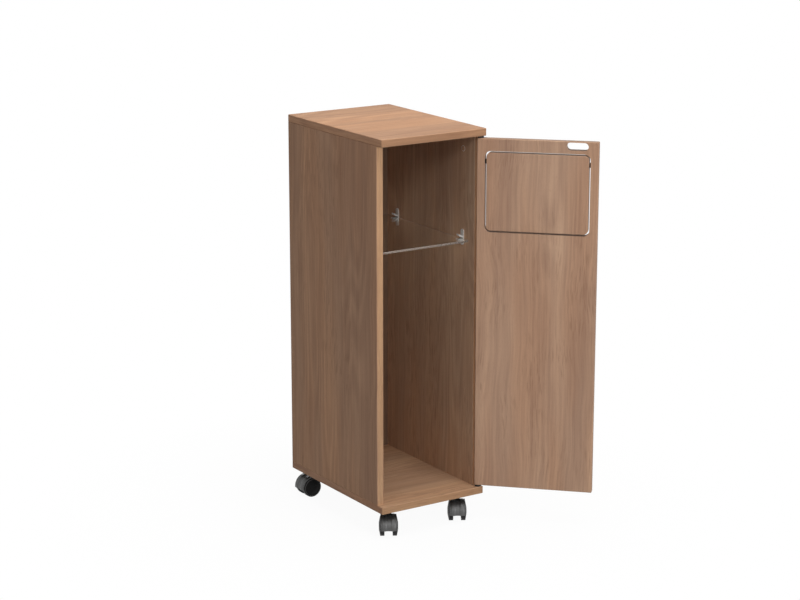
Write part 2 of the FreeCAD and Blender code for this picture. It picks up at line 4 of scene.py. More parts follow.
import bmesh
import bpy
from mathutils import Matrix, Vector


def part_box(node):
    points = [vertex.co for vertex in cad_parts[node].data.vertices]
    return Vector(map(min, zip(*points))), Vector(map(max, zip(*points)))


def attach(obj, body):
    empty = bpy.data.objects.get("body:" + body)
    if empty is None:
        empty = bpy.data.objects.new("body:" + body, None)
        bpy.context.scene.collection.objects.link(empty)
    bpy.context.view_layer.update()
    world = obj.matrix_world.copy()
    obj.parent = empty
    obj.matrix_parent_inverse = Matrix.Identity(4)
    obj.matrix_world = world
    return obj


# A waste bin cabinet in walnut-look laminate on four casters, seen from its left front with the door open.
# All lengths are in metres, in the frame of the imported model.

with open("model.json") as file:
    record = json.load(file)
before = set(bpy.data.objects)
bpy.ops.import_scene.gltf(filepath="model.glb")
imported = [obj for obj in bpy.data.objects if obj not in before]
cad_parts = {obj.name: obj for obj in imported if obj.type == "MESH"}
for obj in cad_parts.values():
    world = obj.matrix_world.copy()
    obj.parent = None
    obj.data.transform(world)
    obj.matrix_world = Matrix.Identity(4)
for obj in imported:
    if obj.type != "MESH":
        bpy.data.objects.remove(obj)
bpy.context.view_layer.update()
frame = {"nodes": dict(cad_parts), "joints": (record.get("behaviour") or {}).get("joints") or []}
nodes = frame["nodes"]
scene = bpy.context.scene

X, Y, Z = 0, 1, 2
CORNERS = ("front_left", "front_right", "rear_left", "rear_right")
SIDES = ("left", "right")
JOINTS = {joint["name"]: joint for joint in frame["joints"]}
DOOR_TURN = math.radians(-JOINTS["door_hinge"]["range_deg"][0])


# Shader node helpers

WHOLE_RANGE = (0, 1)
NOISE_LIMITS = (0.3, 0.7)
NOISE_DETAIL = 2


def grey(level):
    return (level, level, level, 1)


def new_material(name):
    """A node material with its tree and its shader."""
    material = bpy.data.materials.new(name)
    material.use_nodes = True
    tree = material.node_tree
    return material, tree, tree.nodes["Principled BSDF"]


def add_node(tree, kind, **settings):
    node = tree.nodes.new(kind)
    for name, value in settings.items():
        setattr(node, name, value)
    return node


def feed(tree, socket, source):
    """Joins a socket to another node's output, or sets it to a plain value."""
    if isinstance(source, bpy.types.NodeSocket):
        tree.links.new(source, socket)
    else:
        socket.default_value = source


def feed_all(tree, node, sources):
    """Feeds the sockets of a node by their names."""
    for name, source in sources.items():
        feed(tree, node.inputs[name], source)


def calculate(tree, operation, *values):
    node = add_node(tree, "ShaderNodeMath", operation=operation)
    for socket, value in zip(node.inputs, values):
        feed(tree, socket, value)
    return node.outputs[0]


def calculate_vector(tree, operation, *vectors):
    node = add_node(tree, "ShaderNodeVectorMath", operation=operation)
    for socket, vector in zip(node.inputs, vectors):
        feed(tree, socket, vector)
    return node.outputs["Value" if operation == "LENGTH" else "Vector"]


def blend_sum(tree, parts):
    """The weighted sum of several patterns."""
    total = None
    for pattern, weight in parts:
        share = calculate(tree, "MULTIPLY", pattern, weight)
        total = share if total is None else calculate(tree, "ADD", total, share)
    return total


def spread(tree, pattern, limits, result=WHOLE_RANGE):
    """A pattern stretched from one range to another and cut off at its ends."""
    node = add_node(tree, "ShaderNodeMapRange", clamp=True)
    feed_all(tree, node, {
        "Value": pattern,
        "From Min": limits[0],
        "From Max": limits[1],
        "To Min": result[0],
        "To Max": result[1],
    })
    return node.outputs["Result"]


def mix_colour(tree, share, first, second, blend="MIX"):
    node = add_node(tree, "ShaderNodeMix", data_type="RGBA", blend_type=blend)
    colours = [socket for socket in node.inputs if socket.type == "RGBA"]
    feed(tree, node.inputs["Factor"], share)
    feed(tree, colours[0], first)
    feed(tree, colours[1], second)
    return next(socket for socket in node.outputs if socket.type == "RGBA")


def mix_vector(tree, share, first, second):
    """A mix of two vectors, which are the last two vector sockets of the node, after a factor."""
    node = add_node(tree, "ShaderNodeMix", data_type="VECTOR")
    vectors = [socket for socket in node.inputs if socket.type == "VECTOR"]
    feed(tree, node.inputs["Factor"], share)
    feed(tree, vectors[-2], first)
    feed(tree, vectors[-1], second)
    return next(socket for socket in node.outputs if socket.type == "VECTOR")


def mix_shaders(tree, share, first, second):
    node = add_node(tree, "ShaderNodeMixShader")
    for socket, source in zip(node.inputs, (share, first, second)):
        feed(tree, socket, source)
    return node.outputs[0]


def show(tree, surface):
    """Puts a shader in the place of the plain one."""
    feed(tree, tree.nodes["Material Output"].inputs["Surface"], surface)


def place_vector(tree, vector, scale=(1, 1, 1), turn=(0, 0, 0), shift=(0, 0, 0)):
    node = add_node(tree, "ShaderNodeMapping", vector_type="POINT")
    feed_all(tree, node, {"Vector": vector, "Scale": scale, "Rotation": turn, "Location": shift})
    return node.outputs["Vector"]


def turn_vector(tree, vector, turn):
    node = add_node(tree, "ShaderNodeMapping", vector_type="VECTOR")
    feed_all(tree, node, {"Vector": vector, "Rotation": turn})
    return node.outputs["Vector"]


def split(tree, vector):
    node = add_node(tree, "ShaderNodeSeparateXYZ")
    feed(tree, node.inputs["Vector"], vector)
    return list(node.outputs)


def combine(tree, parts):
    node = add_node(tree, "ShaderNodeCombineXYZ")
    for socket, part in zip(node.inputs, parts):
        feed(tree, socket, part)
    return node.outputs["Vector"]


def object_place(tree):
    return add_node(tree, "ShaderNodeTexCoord").outputs["Object"]


def object_normal(tree):
    return add_node(tree, "ShaderNodeTexCoord").outputs["Normal"]


def level_share(tree):
    """1 on a level face, 0 on an upright one."""
    return calculate(tree, "ABSOLUTE", split(tree, object_normal(tree))[Z])


def noise(tree, vector, scale=1, detail=NOISE_DETAIL):
    node = add_node(tree, "ShaderNodeTexNoise")
    feed_all(tree, node, {"Vector": vector, "Scale": scale, "Detail": detail})
    return node.outputs["Fac"]


def mottled(tree, scale, detail=NOISE_DETAIL, limits=NOISE_LIMITS, result=WHOLE_RANGE):
    """Noise that is as coarse one way as the other, stretched from its limits to a range."""
    return spread(tree, noise(tree, object_place(tree), scale, detail), limits, result)


def bump(tree, shader, height, strength, depth):
    node = add_node(tree, "ShaderNodeBump")
    feed_all(tree, node, {"Height": height, "Strength": strength, "Distance": depth})
    feed(tree, shader.inputs["Normal"], node.outputs["Normal"])


# Walnut-look laminate

WOOD_LIGHT = (0.588, 0.365, 0.235, 1)
WOOD_DARK = (0.324, 0.187, 0.125, 1)
WOOD_BLUSH = (1.025, 0.967, 0.917, 1)
WOOD_FLECK = (0.270, 0.152, 0.098, 1)
WOOD_PORE = (0.180, 0.100, 0.064, 1)
WOOD_ROUGHNESS = (0.66, 0.54)
WOOD_SHINE = 0.04
PLAIN = (1, 1, 1, 1)

# Tints of whole boards, each from a batch of its own
TOP_TINT = (1.055, 1.03, 0.975, 1)
BOTTOM_TINT = (1.06, 1.11, 1.06, 1)
BACK_TINT = (0.46, 0.49, 0.49, 1)
DOOR_TINT = (1.01, 1.06, 1.11, 1)

# Tints of one inner face, and of edging along the grain and over its ends
# Painted light: the right panel's inner face is tinted cooler to offset the warm bounce light inside the
# cabinet
RIGHT_INNER_PAINTED_COOL_LIGHT = (0.98, 1.06, 1.09, 1)
LEVEL_EDGING = (0.87, 0.83, 0.78, 1)
TOP_ENDS = (1.08, 1.05, 1.05, 1)
BOTTOM_ENDS = (0.92, 0.85, 0.90, 1)
UPRIGHT_EDGING = (1.15, 1.18, 1.06, 1)
# Painted light: the right panel's edging is lightened where the open door shades it
HINGE_EDGING_PAINTED_LIGHT = (1.35, 1.30, 1.16, 1)
DOOR_EDGING = (1.1, 1.2, 1.3, 1)
DOOR_ENDS = (0.72, 0.82, 0.9, 1)
# Painted light: the flap's edges are lightened as if lit inside the shaded gap round the flap
FLAP_EDGING_PAINTED_LIGHT = (1.65, 2.15, 2.6, 1)

# Where in the endless print each board is cut from
TOP_SHIFT = (0.31, 0.07, 0)
BOTTOM_SHIFT = (1.7, 0.4, 0.2)
LEFT_SHIFT = (0.1, 2.3, 0.4)
RIGHT_SHIFT = (0.7, 3.1, 1.2)
BACK_SHIFT = (4.2, 0.2, 2.1)
DOOR_SHIFT = (5.3, 0.6, 1.6)

# Noises of the grain: how fine along it and across it, the limits stretched to 0 and 1, and the detail
GRAIN_LAYERS = {
    "bands": (1.4, 14, (0.34, 0.66), 3),
    "streaks": (4.5, 170, (0.34, 0.66), 5),
    "fibres": (16, 800, (0.3, 0.7), 2),
    "pores": (110, 2600, (0.6, 0.72), 1),
    "patches": (5, 17, (0.45, 0.6), 2),
    "marks": (30, 380, (0.53, 0.66), 1),
    "figure": (2.5, 12, (0.42, 0.62), 2),
    "blush": (1.8, 14, (0.4, 0.62), 2),
}

# Shares of the noises in the tone, of flecks and pores over it, and the relief as strength and depth
BAND_SHARE = 0.38
STREAK_SHARE = 0.30
FIBRE_SHARE = 0.16
FIGURE_SHARE = 0.22
FLECK_SHARE = 0.45
PORE_SHARE = 0.22
FIBRE_HEIGHT = 0.4
GRAIN_RELIEF = (0.25, 0.00008)

# Growth lines, the sway of the finer lines, and the slopes that part the faces of a board from its edges
FIGURE_STRETCH = (1.3, 9, 9)
FIGURE_LINES = 105
FIGURE_LIMITS = (-0.7, 1)
SWAY_STRETCH = (5, 10, 10)
SWAY_MIDDLE = 0.5
SWAY_REACH = 0.03
SLOW_DETAIL = 1
END_LIMIT = 0.8
EDGE_LIMIT = 0.6


def grain_place(tree, grain, thin, turn, shift):
    """Coordinates along the grain, across it and through the board.

    With them come the masks of all its edges, of its ends alone and of its inner face.
    """
    rotation = (0, 0, -turn)
    across = ({X, Y, Z} - {grain, thin}).pop()
    axes = split(tree, place_vector(tree, object_place(tree), turn=rotation, shift=shift))
    normal = split(tree, turn_vector(tree, object_normal(tree), rotation))
    on_face = combine(tree, (axes[grain], axes[across], axes[thin]))
    on_end = combine(tree, (axes[across], axes[grain], axes[thin]))
    end_share = calculate(tree, "GREATER_THAN", calculate(tree, "ABSOLUTE", normal[grain]), END_LIMIT)
    edge_share = calculate(tree, "LESS_THAN", calculate(tree, "ABSOLUTE", normal[thin]), EDGE_LIMIT)
    inner_share = calculate(tree, "LESS_THAN", normal[thin], -EDGE_LIMIT)
    return mix_vector(tree, end_share, on_face, on_end), edge_share, end_share, inner_share


def grain_layer(tree, place, name):
    """One of the noises, drawn out along the grain, from 0 to 1."""
    along, across, limits, detail = GRAIN_LAYERS[name]
    drawn_out = place_vector(tree, place, scale=(along, across, across))
    return spread(tree, noise(tree, drawn_out, detail=detail), limits)


def swayed(tree, place):
    """Coordinates in which the lines of grain sway slowly from side to side."""
    along, across, through = split(tree, place)
    sway = noise(tree, place_vector(tree, place, scale=SWAY_STRETCH), detail=SLOW_DETAIL)
    moved = calculate(tree, "MULTIPLY", calculate(tree, "SUBTRACT", sway, SWAY_MIDDLE), SWAY_REACH)
    return combine(tree, (along, calculate(tree, "ADD", across, moved), through))


def grain_figure(tree, place):
    """Growth lines, the level lines of a slow noise, which bend into arches and fade in and out."""
    slow = noise(tree, place_vector(tree, place, scale=FIGURE_STRETCH), detail=SLOW_DETAIL)
    lines = calculate(tree, "SINE", calculate(tree, "MULTIPLY", slow, FIGURE_LINES))
    shown = grain_layer(tree, place, "figure")
    return calculate(tree, "MULTIPLY", spread(tree, lines, FIGURE_LIMITS), shown)


def tinted(colour, tint):
    return tuple(part * share for part, share in zip(colour, tint))


def grain_colour(tree, place, swaying, fibres, pores, tint):
    """The colour of the print: its tone in a batch's tint, a faint blush, and dark flecks and pores."""
    tone = blend_sum(tree, (
        (grain_layer(tree, place, "bands"), BAND_SHARE),
        (grain_layer(tree, swaying, "streaks"), STREAK_SHARE),
        (fibres, FIBRE_SHARE),
        (grain_figure(tree, place), FIGURE_SHARE),
    ))
    marks = grain_layer(tree, swaying, "marks")
    flecks = calculate(tree, "MULTIPLY", marks, grain_layer(tree, place, "patches"))
    colour = mix_colour(tree, tone, tinted(WOOD_DARK, tint), tinted(WOOD_LIGHT, tint))
    colour = mix_colour(tree, grain_layer(tree, place, "blush"), colour, WOOD_BLUSH, "MULTIPLY")
    colour = mix_colour(tree, calculate(tree, "MULTIPLY", flecks, FLECK_SHARE), colour, WOOD_FLECK)
    return mix_colour(tree, calculate(tree, "MULTIPLY", pores, PORE_SHARE), colour, WOOD_PORE)


def laminate(name, grain, thin, shift, tint=PLAIN, edging=PLAIN, ends=PLAIN, inner=PLAIN, turn=0):
    """Printed walnut grain along one axis of a board that is thin along another.

    The edging on its sides and ends can have tints of its own, and so can the inner face, which looks back
    along the thin axis.
    """
    material, tree, shader = new_material(name)
    place, edge_share, end_share, inner_share = grain_place(tree, grain, thin, turn, shift)
    swaying = swayed(tree, place)
    fibres = grain_layer(tree, swaying, "fibres")
    pores = grain_layer(tree, swaying, "pores")
    printed = grain_colour(tree, place, swaying, fibres, pores, tint)
    on_faces = mix_colour(tree, inner_share, printed, inner, "MULTIPLY")
    edge_tint = mix_colour(tree, end_share, edging, ends)
    feed_all(tree, shader, {
        "Base Color": mix_colour(tree, edge_share, on_faces, edge_tint, "MULTIPLY"),
        "Roughness": spread(tree, fibres, WHOLE_RANGE, WOOD_ROUGHNESS),
        "Specular IOR Level": WOOD_SHINE,
    })
    height = calculate(tree, "SUBTRACT", calculate(tree, "MULTIPLY", fibres, FIBRE_HEIGHT), pores)
    bump(tree, shader, height, *GRAIN_RELIEF)
    return material


# Glass

GLASS_FACE = (0.975, 0.990, 0.985, 1)
GLASS_EDGE = (0.90, 0.71, 0.57, 1)
GLASS_ARRIS = (0.97, 0.88, 0.80, 1)
GLASS_SHADOW = (0.93, 0.95, 0.94, 1)
GLASS_IOR = 1.5
SMUDGE_SCALE = 14
SMUDGE_DETAIL = 4
SMUDGE_LIMITS = (0.5, 0.75)
SMUDGE_ROUGHNESS = (0.0, 0.05)

# How level the glass is where an edge starts and is full, how level its arris is, and how far that reaches
EDGE_LEVELS = (0.9, 0.5)
ARRIS_LEVEL = 0.7
ARRIS_SPANS = (0.2, 0.1)
ARRIS_DULLNESS = 0.3

# The ground edges: how rough, how dull from one end to the other, as real grinding with a painted reflection
# that fades along the shelf, and how much light dull glass lets through
GROUND_SCALE = 900
GROUND_ROUGHNESS = (0.15, 0.3)
REFLECTION_FADE_REACH = (0.0, 0.1)
GROUND_DULLNESS_AND_REFLECTION = (0.33, 0.1)
CLEAR_TO_DULL = (1, 0.2)


def shelf_glass(name):
    """Clear glass with faint smudges, ground edges that are duller and paler toward one end as a painted
    reflection, and a pale line at each arris.
    """
    material, tree, shader = new_material(name)
    level = level_share(tree)
    edge_share = spread(tree, level, EDGE_LEVELS)
    from_arris = calculate(tree, "ABSOLUTE", calculate(tree, "SUBTRACT", level, ARRIS_LEVEL))
    arris_share = spread(tree, from_arris, ARRIS_SPANS)
    colour = mix_colour(tree, edge_share, GLASS_FACE, GLASS_EDGE)
    smudges = mottled(tree, SMUDGE_SCALE, SMUDGE_DETAIL, SMUDGE_LIMITS, SMUDGE_ROUGHNESS)
    ground = mottled(tree, GROUND_SCALE, result=GROUND_ROUGHNESS)
    # Painted reflection: the ground edges are duller and paler toward one end, as if lit from that side
    edge_dullness_and_reflection = spread(tree, split(tree, object_place(tree))[X], REFLECTION_FADE_REACH, GROUND_DULLNESS_AND_REFLECTION)
    dulled_edge_and_reflection = calculate(tree, "MULTIPLY", edge_share, edge_dullness_and_reflection)
    dulled_arris = calculate(tree, "MULTIPLY", arris_share, ARRIS_DULLNESS)
    dulled = calculate(tree, "ADD", dulled_edge_and_reflection, dulled_arris)
    feed_all(tree, shader, {
        "Base Color": mix_colour(tree, arris_share, colour, GLASS_ARRIS),
        "Roughness": calculate(tree, "ADD", smudges, calculate(tree, "MULTIPLY", edge_share, ground)),
        "Transmission Weight": spread(tree, dulled, WHOLE_RANGE, CLEAR_TO_DULL),
        "IOR": GLASS_IOR,
    })
    clear = add_node(tree, "ShaderNodeBsdfTransparent")
    feed(tree, clear.inputs["Color"], GLASS_SHADOW)
    shadow_share = add_node(tree, "ShaderNodeLightPath").outputs["Is Shadow Ray"]
    show(tree, mix_shaders(tree, shadow_share, shader.outputs["BSDF"], clear.outputs["BSDF"]))
    return material


# Metals

NICKEL_LIGHT = (0.74, 0.73, 0.71, 1)
NICKEL_DARK = (0.62, 0.61, 0.59, 1)
CAM_LIGHT = (0.82, 0.81, 0.79, 1)
CAM_DARK = (0.70, 0.69, 0.67, 1)
PIN_LIGHT = grey(0.64)
PIN_DARK = (0.52, 0.52, 0.53, 1)
PLATE_LIGHT = (0.56, 0.56, 0.55, 1)
PLATE_DARK = grey(0.42)
AXLE_LIGHT = grey(0.62)
AXLE_DARK = grey(0.50)
SCREW_LIGHT = (0.66, 0.66, 0.65, 1)
SCREW_DARK = (0.52, 0.52, 0.51, 1)
METAL_CLOUD = 90
CLOUD_DETAIL = 3
METAL_GRIT = 700
CAM_GRIT = 400
METAL_RELIEF = (0.12, 0.00003)
THREAD_PITCH = 0.0016
THREAD_CLOUD = 160
THREAD_ROUGHNESS = (0.26, 0.38)
THREAD_RELIEF = (0.6, 0.0004)
SHANK_LIMIT = 0.6


def metal(name, light, dark, roughness, grit=METAL_GRIT, bare=1):
    """Satin metal, a little uneven in tone and polish, bare or partly dulled."""
    material, tree, shader = new_material(name)
    cloud = mottled(tree, METAL_CLOUD, CLOUD_DETAIL)
    grains = mottled(tree, grit)
    feed_all(tree, shader, {
        "Base Color": mix_colour(tree, cloud, dark, light),
        "Roughness": spread(tree, grains, WHOLE_RANGE, roughness),
        "Metallic": bare,
    })
    bump(tree, shader, grains, *METAL_RELIEF)
    return material


def threaded_steel(name):
    """Zinc-plated steel with a fine thread round an upright shank."""
    material, tree, shader = new_material(name)
    height = split(tree, object_place(tree))[Z]
    thread = calculate(tree, "SINE", calculate(tree, "MULTIPLY", height, math.tau / THREAD_PITCH))
    on_shank = calculate(tree, "LESS_THAN", level_share(tree), SHANK_LIMIT)
    cloud = mottled(tree, THREAD_CLOUD, CLOUD_DETAIL)
    feed_all(tree, shader, {
        "Base Color": mix_colour(tree, cloud, SCREW_DARK, SCREW_LIGHT),
        "Roughness": spread(tree, cloud, WHOLE_RANGE, THREAD_ROUGHNESS),
        "Metallic": 1,
    })
    bump(tree, shader, calculate(tree, "MULTIPLY", thread, on_shank), *THREAD_RELIEF)
    return material


# Black nylon

BUSH_LIGHT = (0.022, 0.021, 0.020, 1)
BUSH_DARK = grey(0.012)
HOOD_LIGHT = (0.082, 0.081, 0.080, 1)
HOOD_DARK = (0.060, 0.059, 0.058, 1)
# Painted shade: a dark colour on a hood's top, where the board above shades it
HOOD_TOP_SHADE = grey(0.012)

# Heights over the floor at which the painted shade on a hood's top is full and where it fades out, and the
# patterns of moulded nylon
TOP_SHADE_FULL_HEIGHT = 0.043
TOP_SHADE_FADE_HEIGHT = 0.033
NYLON_CLOUD = 60
NYLON_CLOUD_DETAIL = 4
NYLON_CLOUD_LIMITS = (0.35, 0.7)
NYLON_GRIT = 1900
NYLON_GRIT_DETAIL = 1
CLOUD_SHARE = 0.6
GRIT_SHARE = 0.4
NYLON_RELIEF = (0.2, 0.00005)

WHEEL_LIGHT = (0.014, 0.013, 0.013, 1)
WHEEL_DARK = grey(0.008)
# Painted highlight: the pale grey line round a wheel's rim
WHEEL_RIM_HIGHLIGHT = (0.090, 0.087, 0.088, 1)
WHEEL_TREAD = (0.036, 0.034, 0.035, 1)
WHEEL_ROUGHNESS = (0.4, 0.55)
WHEEL_SHINE = 0.08
WHEEL_GRIT_HEIGHT = 0.1
WHEEL_RELIEF = (0.4, 0.0004)

# The painted highlight line at the rim, its reach to either side, and where the tread starts
RIM_HIGHLIGHT_RADIUS = 0.0180
RIM_HIGHLIGHT_SPANS = (0.0012, 0.0006)
TREAD_RADIUS = 0.0196


def nylon_patterns(tree):
    """The slow clouds of dust and the fine spark-eroded grains of moulded nylon."""
    cloud = mottled(tree, NYLON_CLOUD, NYLON_CLOUD_DETAIL, NYLON_CLOUD_LIMITS)
    return cloud, mottled(tree, NYLON_GRIT, NYLON_GRIT_DETAIL)


def moulded_nylon(name, light, dark, roughness, shine):
    """Black nylon with a fine texture and slight dust."""
    material, tree, shader = new_material(name)
    cloud, grains = nylon_patterns(tree)
    tone = blend_sum(tree, ((cloud, CLOUD_SHARE), (grains, GRIT_SHARE)))
    feed_all(tree, shader, {
        "Base Color": mix_colour(tree, tone, dark, light),
        "Roughness": spread(tree, tone, WHOLE_RANGE, roughness),
        "Specular IOR Level": shine,
    })
    bump(tree, shader, grains, *NYLON_RELIEF)
    return material


def shade_hood_top(material):
    """Paints shade on a hood's top, darker toward the top, where the board above shades it."""
    tree = material.node_tree
    base = tree.nodes["Principled BSDF"].inputs["Base Color"]
    nylon_colour = base.links[0].from_socket
    # Painted shade, full at the top of a hood and gone lower down
    unshaded_share = spread(tree, split(tree, object_place(tree))[Z], (TOP_SHADE_FULL_HEIGHT, TOP_SHADE_FADE_HEIGHT))
    feed(tree, base, mix_colour(tree, unshaded_share, HOOD_TOP_SHADE, nylon_colour))


def from_line(tree, joint):
    """The distance from a joint's line."""
    arm = calculate_vector(tree, "SUBTRACT", object_place(tree), joint["pos_m"])
    return calculate_vector(tree, "LENGTH", calculate_vector(tree, "CROSS_PRODUCT", arm, joint["axis"]))


def wheel_nylon(name, joint):
    """Black nylon with a painted highlight, a grey line round the rim of the wheel's outer face, and a
    greyer tread.
    """
    material, tree, shader = new_material(name)
    cloud, grains = nylon_patterns(tree)
    radius = from_line(tree, joint)
    tread_share = calculate(tree, "GREATER_THAN", radius, TREAD_RADIUS)
    # A painted highlight line round the rim of the outer face
    from_rim_highlight = calculate(tree, "ABSOLUTE", calculate(tree, "SUBTRACT", radius, RIM_HIGHLIGHT_RADIUS))
    rim_highlight_share = spread(tree, from_rim_highlight, RIM_HIGHLIGHT_SPANS)
    colour = mix_colour(tree, cloud, WHEEL_DARK, WHEEL_LIGHT)
    colour = mix_colour(tree, tread_share, colour, WHEEL_TREAD)
    feed_all(tree, shader, {
        "Base Color": mix_colour(tree, rim_highlight_share, colour, WHEEL_RIM_HIGHLIGHT),
        "Roughness": spread(tree, grains, WHOLE_RANGE, WHEEL_ROUGHNESS),
        "Specular IOR Level": WHEEL_SHINE,
    })
    height = calculate(tree, "ADD", calculate(tree, "MULTIPLY", grains, WHEEL_GRIT_HEIGHT), rim_highlight_share)
    bump(tree, shader, height, *WHEEL_RELIEF)
    return material


# Beech

BEECH_LIGHT = (0.60, 0.42, 0.25, 1)
BEECH_DARK = (0.44, 0.29, 0.16, 1)
BEECH_ROUGHNESS = (0.75, 0.6)
BEECH_RELIEF = (0.2, 0.0001)
RAY_STRETCH = (900, 900, 60)
RAY_LIMITS = (0.35, 0.7)


def beech(name):
    """Plain turned beech with short dark rays along the dowel."""
    material, tree, shader = new_material(name)
    drawn_out = place_vector(tree, object_place(tree), scale=RAY_STRETCH)
    between_rays = spread(tree, noise(tree, drawn_out), RAY_LIMITS)
    feed_all(tree, shader, {
        "Base Color": mix_colour(tree, between_rays, BEECH_DARK, BEECH_LIGHT),
        "Roughness": spread(tree, between_rays, WHOLE_RANGE, BEECH_ROUGHNESS),
    })
    bump(tree, shader, between_rays, *BEECH_RELIEF)
    return material


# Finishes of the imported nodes

def finish_nodes(material, *names):
    for name in names:
        nodes[name].data.materials.clear()
        nodes[name].data.materials.append(material)


def finish_boards():
    top = laminate("laminate_top", X, Z, TOP_SHIFT, TOP_TINT, LEVEL_EDGING, TOP_ENDS)
    bottom = laminate("laminate_bottom", X, Z, BOTTOM_SHIFT, BOTTOM_TINT, LEVEL_EDGING, BOTTOM_ENDS)
    left = laminate("laminate_left", Z, X, LEFT_SHIFT, edging=UPRIGHT_EDGING)
    right = laminate("laminate_right", Z, X, RIGHT_SHIFT, edging=HINGE_EDGING_PAINTED_LIGHT, inner=RIGHT_INNER_PAINTED_COOL_LIGHT)
    back = laminate("laminate_back", Z, Y, BACK_SHIFT, BACK_TINT)
    door = laminate("laminate_door", Z, Y, DOOR_SHIFT, DOOR_TINT, DOOR_EDGING, DOOR_ENDS, turn=DOOR_TURN)
    flap = laminate("laminate_flap", Z, Y, DOOR_SHIFT, DOOR_TINT, FLAP_EDGING_PAINTED_LIGHT, FLAP_EDGING_PAINTED_LIGHT, turn=DOOR_TURN)
    finish_nodes(top, "top_panel")
    finish_nodes(bottom, "bottom_panel")
    finish_nodes(left, "left_side_panel")
    finish_nodes(right, "right_side_panel")
    finish_nodes(back, "back_panel")
    finish_nodes(door, "door_panel")
    finish_nodes(flap, "flap_panel")


def finish_fittings():
    finish_nodes(shelf_glass("shelf_glass"), "glass_shelf")
    nickel = metal("satin_nickel", NICKEL_LIGHT, NICKEL_DARK, roughness=(0.3, 0.45), bare=0.35)
    for corner in CORNERS:
        finish_nodes(nickel, f"shelf_support_{corner}")
    zinc = metal("zinc_cast", CAM_LIGHT, CAM_DARK, roughness=(0.35, 0.5), grit=CAM_GRIT, bare=0.4)
    finish_nodes(zinc, "cam_locks")
    finish_nodes(threaded_steel("bolt_steel"), "cam_bolts", "base_screws")
    finish_nodes(beech("dowel_beech"), "wood_dowels")
    pin_steel = metal("pin_steel", PIN_LIGHT, PIN_DARK, roughness=(0.18, 0.32))
    finish_nodes(pin_steel, "upper_pivot_pin", "lower_pivot_pin")
    finish_nodes(pin_steel, "flap_pin_hinge_side", "flap_pin_free_side")
    bush = moulded_nylon("black_bush", BUSH_LIGHT, BUSH_DARK, roughness=(0.45, 0.6), shine=0.2)
    finish_nodes(bush, "upper_pivot_bush", "lower_pivot_bush")
    finish_nodes(bush, "flap_bush_hinge_side", "flap_bush_free_side")


def finish_casters():
    plate = metal("zinc_plate", PLATE_LIGHT, PLATE_DARK, roughness=(0.3, 0.46))
    axle = metal("axle_steel", AXLE_LIGHT, AXLE_DARK, roughness=(0.2, 0.34))
    hood = moulded_nylon("hood_nylon", HOOD_LIGHT, HOOD_DARK, roughness=(0.38, 0.5), shine=0.6)
    shade_hood_top(hood)
    for corner in CORNERS:
        finish_nodes(plate, f"caster_plate_{corner}")
        finish_nodes(axle, f"caster_axle_{corner}")
        finish_nodes(hood, f"caster_hood_{corner}")
        for side in SIDES:
            wheel = f"{corner}_{side}"
            finish_nodes(wheel_nylon(f"wheel_nylon_{wheel}", JOINTS[f"roll_{wheel}"]), f"wheel_{wheel}")


# Small pieces

def lathe(mesh, profile, turn_steps, place):
    """Turns a profile of (radius, height) points round an axis and puts the shape in its place."""
    rings = []
    for radius, height in profile:
        ring = []
        for step in range(turn_steps):
            angle = math.tau * step / turn_steps
            point = Vector((radius * math.cos(angle), radius * math.sin(angle), height))
            ring.append(mesh.verts.new(place @ point))
        rings.append(ring)
    for lower, upper in zip(rings, rings[1:]):
        for step in range(turn_steps):
            after = (step + 1) % turn_steps
            mesh.faces.new((lower[step], lower[after], upper[after], upper[step])).smooth = True
    return rings


def finished_piece(mesh, name, material, body):
    bmesh.ops.recalc_face_normals(mesh, faces=mesh.faces)
    data = bpy.data.meshes.new(name)
    mesh.to_mesh(data)
    mesh.free()
    data.materials.append(material)
    piece = bpy.data.objects.new(name, data)
    scene.collection.objects.link(piece)
    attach(piece, body)


PLATE_THICKNESS = 0.002
PLATE_HOLE_REACH = 0.014
SCREW_STEPS = 32
SCREW_PROFILE = ((0.0036, 0), (0.0039, 0.0003), (0.0039, 0.0009), (0.0034, 0.0015), (0.0026, 0.0018))
RECESS_ARMS = 4
RECESS_REACH = 0.0019
RECESS_HALF = 0.0004
RECESS_DEPTH = 0.0011


def cross_outline():
    """The corners of a plus sign, in turn round its middle."""
    arm = ((RECESS_REACH, -RECESS_HALF), (RECESS_REACH, RECESS_HALF), (RECESS_HALF, RECESS_HALF))
    corners = []
    for turn in range(RECESS_ARMS):
        for x, y in arm:
            for _ in range(turn):
                x, y = -y, x
            corners.append((x, y))
    return corners


def add_screw(mesh, place):
    """A pan head with a cross recess, standing on its flat face."""
    rings = lathe(mesh, SCREW_PROFILE, SCREW_STEPS, place)
    mesh.faces.new(list(reversed(rings[0])))
    crown = SCREW_PROFILE[-1][1]
    mouth = [mesh.verts.new(place @ Vector((x, y, crown))) for x, y in cross_outline()]
    floor = [mesh.verts.new(place @ Vector((x, y, crown - RECESS_DEPTH))) for x, y in cross_outline()]
    mesh.faces.new(floor)
    loops = []
    for ring in (rings[-1], mouth):
        for first, second in zip(ring, ring[1:] + ring[:1]):
            loops.append(mesh.edges.get((first, second)) or mesh.edges.new((first, second)))
    bmesh.ops.triangle_fill(mesh, edges=loops, use_beauty=True)
    for index, corner in enumerate(mouth):
        after = (index + 1) % len(mouth)
        mesh.faces.new((corner, mouth[after], floor[after], floor[index]))


